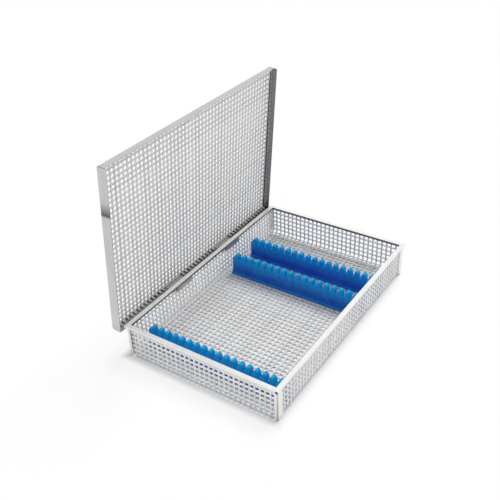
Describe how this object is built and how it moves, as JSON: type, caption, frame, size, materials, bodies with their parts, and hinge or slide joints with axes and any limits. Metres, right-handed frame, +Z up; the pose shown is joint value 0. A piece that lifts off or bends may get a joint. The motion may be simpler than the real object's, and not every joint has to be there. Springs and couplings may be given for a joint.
{
  "type": "dental instrument cassette",
  "caption": "Open steel wire mesh tray with a hinged mesh lid, solid lid skirt and rim, and blue silicone comb racks that hold instruments for washing and sterilising.",
  "frame": {"origin": "on the table, under the middle of the tray's mesh floor", "axes": "+X along the tray toward its right short side, +Y from the opening side to the hinges, +Z up"},
  "size_m": [0.283, 0.1977, 0.2188],
  "materials": {
    "sheet_steel": "satin",
    "mesh_steel": "satin",
    "silicone": "matte"
  },
  "bodies": {
    "tray": {"tray_floor_mesh": "mesh_steel", "tray_wall_mesh_front": "mesh_steel", "tray_wall_mesh_back": "mesh_steel", "tray_wall_mesh_left": "mesh_steel", "tray_wall_mesh_right": "mesh_steel", "tray_rim_front": "sheet_steel", "tray_rim_back": "sheet_steel", "tray_rim_left": "sheet_steel", "tray_rim_right": "sheet_steel", "corner_strip_front_left": "sheet_steel", "corner_strip_front_right": "sheet_steel", "corner_strip_back_left": "sheet_steel", "corner_strip_back_right": "sheet_steel", "hinge_backing_plate_left": "sheet_steel", "hinge_backing_plate_right": "sheet_steel", "tray_hinge_leaf_left": "sheet_steel", "tray_hinge_leaf_right": "sheet_steel", "hinge_pin_left": "sheet_steel", "hinge_pin_right": "sheet_steel", "instrument_rack_left": "silicone", "instrument_rack_middle": "silicone", "instrument_rack_right": "silicone", "rack_rail_left": "sheet_steel", "rack_rail_middle": "sheet_steel", "rack_rail_right": "sheet_steel"},
    "lid": {"lid_hinge_leaf_left": "sheet_steel", "lid_hinge_leaf_right": "sheet_steel", "lid_mesh": "mesh_steel", "lid_skirt_front": "sheet_steel", "lid_skirt_back": "sheet_steel", "lid_skirt_left": "sheet_steel", "lid_skirt_right": "sheet_steel", "lid_catch_tab": "sheet_steel"}
  },
  "joints": [
    {"name": "lid_hinge", "type": "hinge", "parent": "tray", "child": "lid", "pos_m": [0, 0.094, 0.0294], "axis": [1, 0, 0], "range_deg": [0, 85]}
  ]
}
